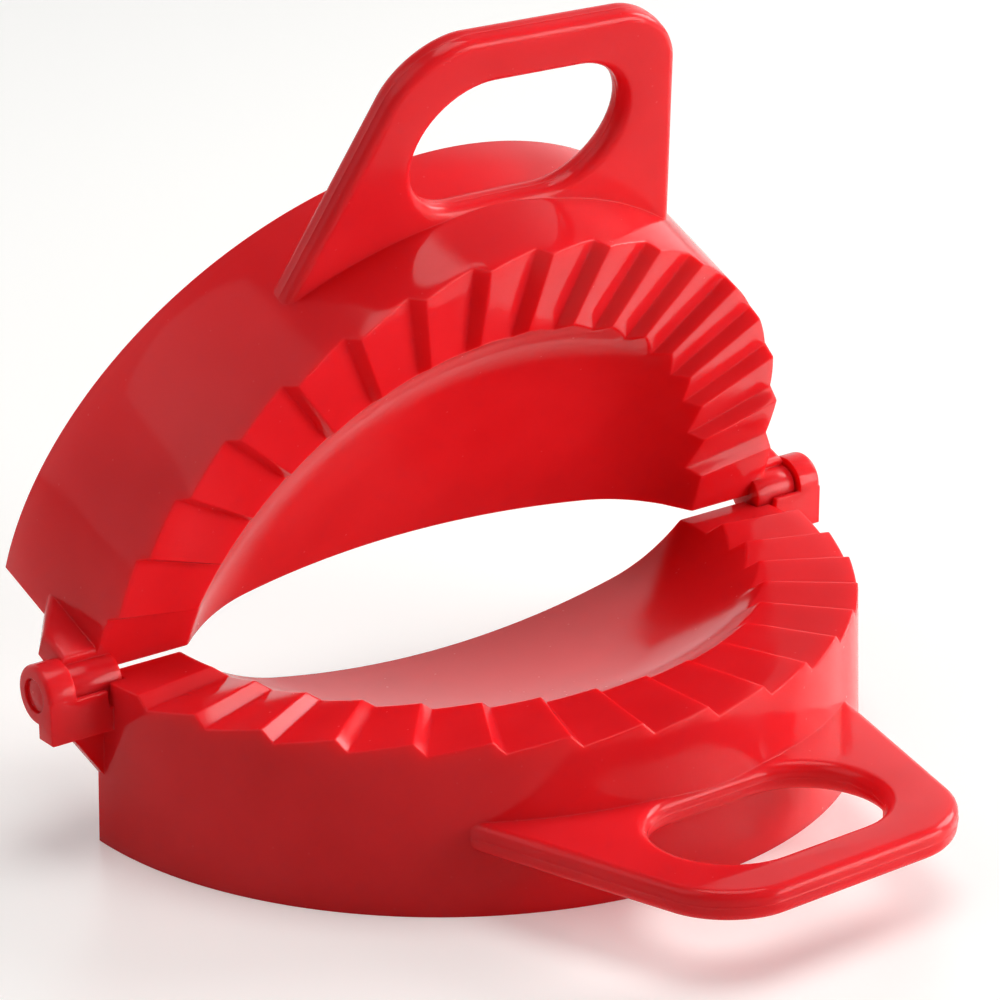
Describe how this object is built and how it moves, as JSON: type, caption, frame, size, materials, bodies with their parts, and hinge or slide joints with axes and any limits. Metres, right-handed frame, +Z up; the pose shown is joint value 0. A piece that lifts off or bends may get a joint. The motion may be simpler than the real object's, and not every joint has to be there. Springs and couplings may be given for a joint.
{
  "type": "empanada press",
  "caption": "Hinged half-round dough press with a cutting skirt, toothed crimping rims, dished filling pockets and a loop handle on each half.",
  "frame": {"origin": "under the middle of the whole part's box, at the level of the front half's cutting edge, which is the surface the press stands on", "axes": "+X along the hinge, to the right as the front handle is faced; +Y from the front handle towards the hinge; +Z up, out of the front half's pocket"},
  "size_m": [0.1722, 0.1378, 0.1382],
  "materials": {
    "red_plastic": "moulded, glossy"
  },
  "bodies": {
    "front": {"front_half": "red_plastic"},
    "rear": {"rear_half": "red_plastic", "left_hinge_pin": "red_plastic", "right_hinge_pin": "red_plastic"}
  },
  "joints": [
    {"name": "press_hinge", "type": "hinge", "parent": "front", "child": "rear", "pos_m": [0, 0.04134, 0.03], "axis": [1, 0, 0], "range_deg": [-113, 67]}
  ]
}
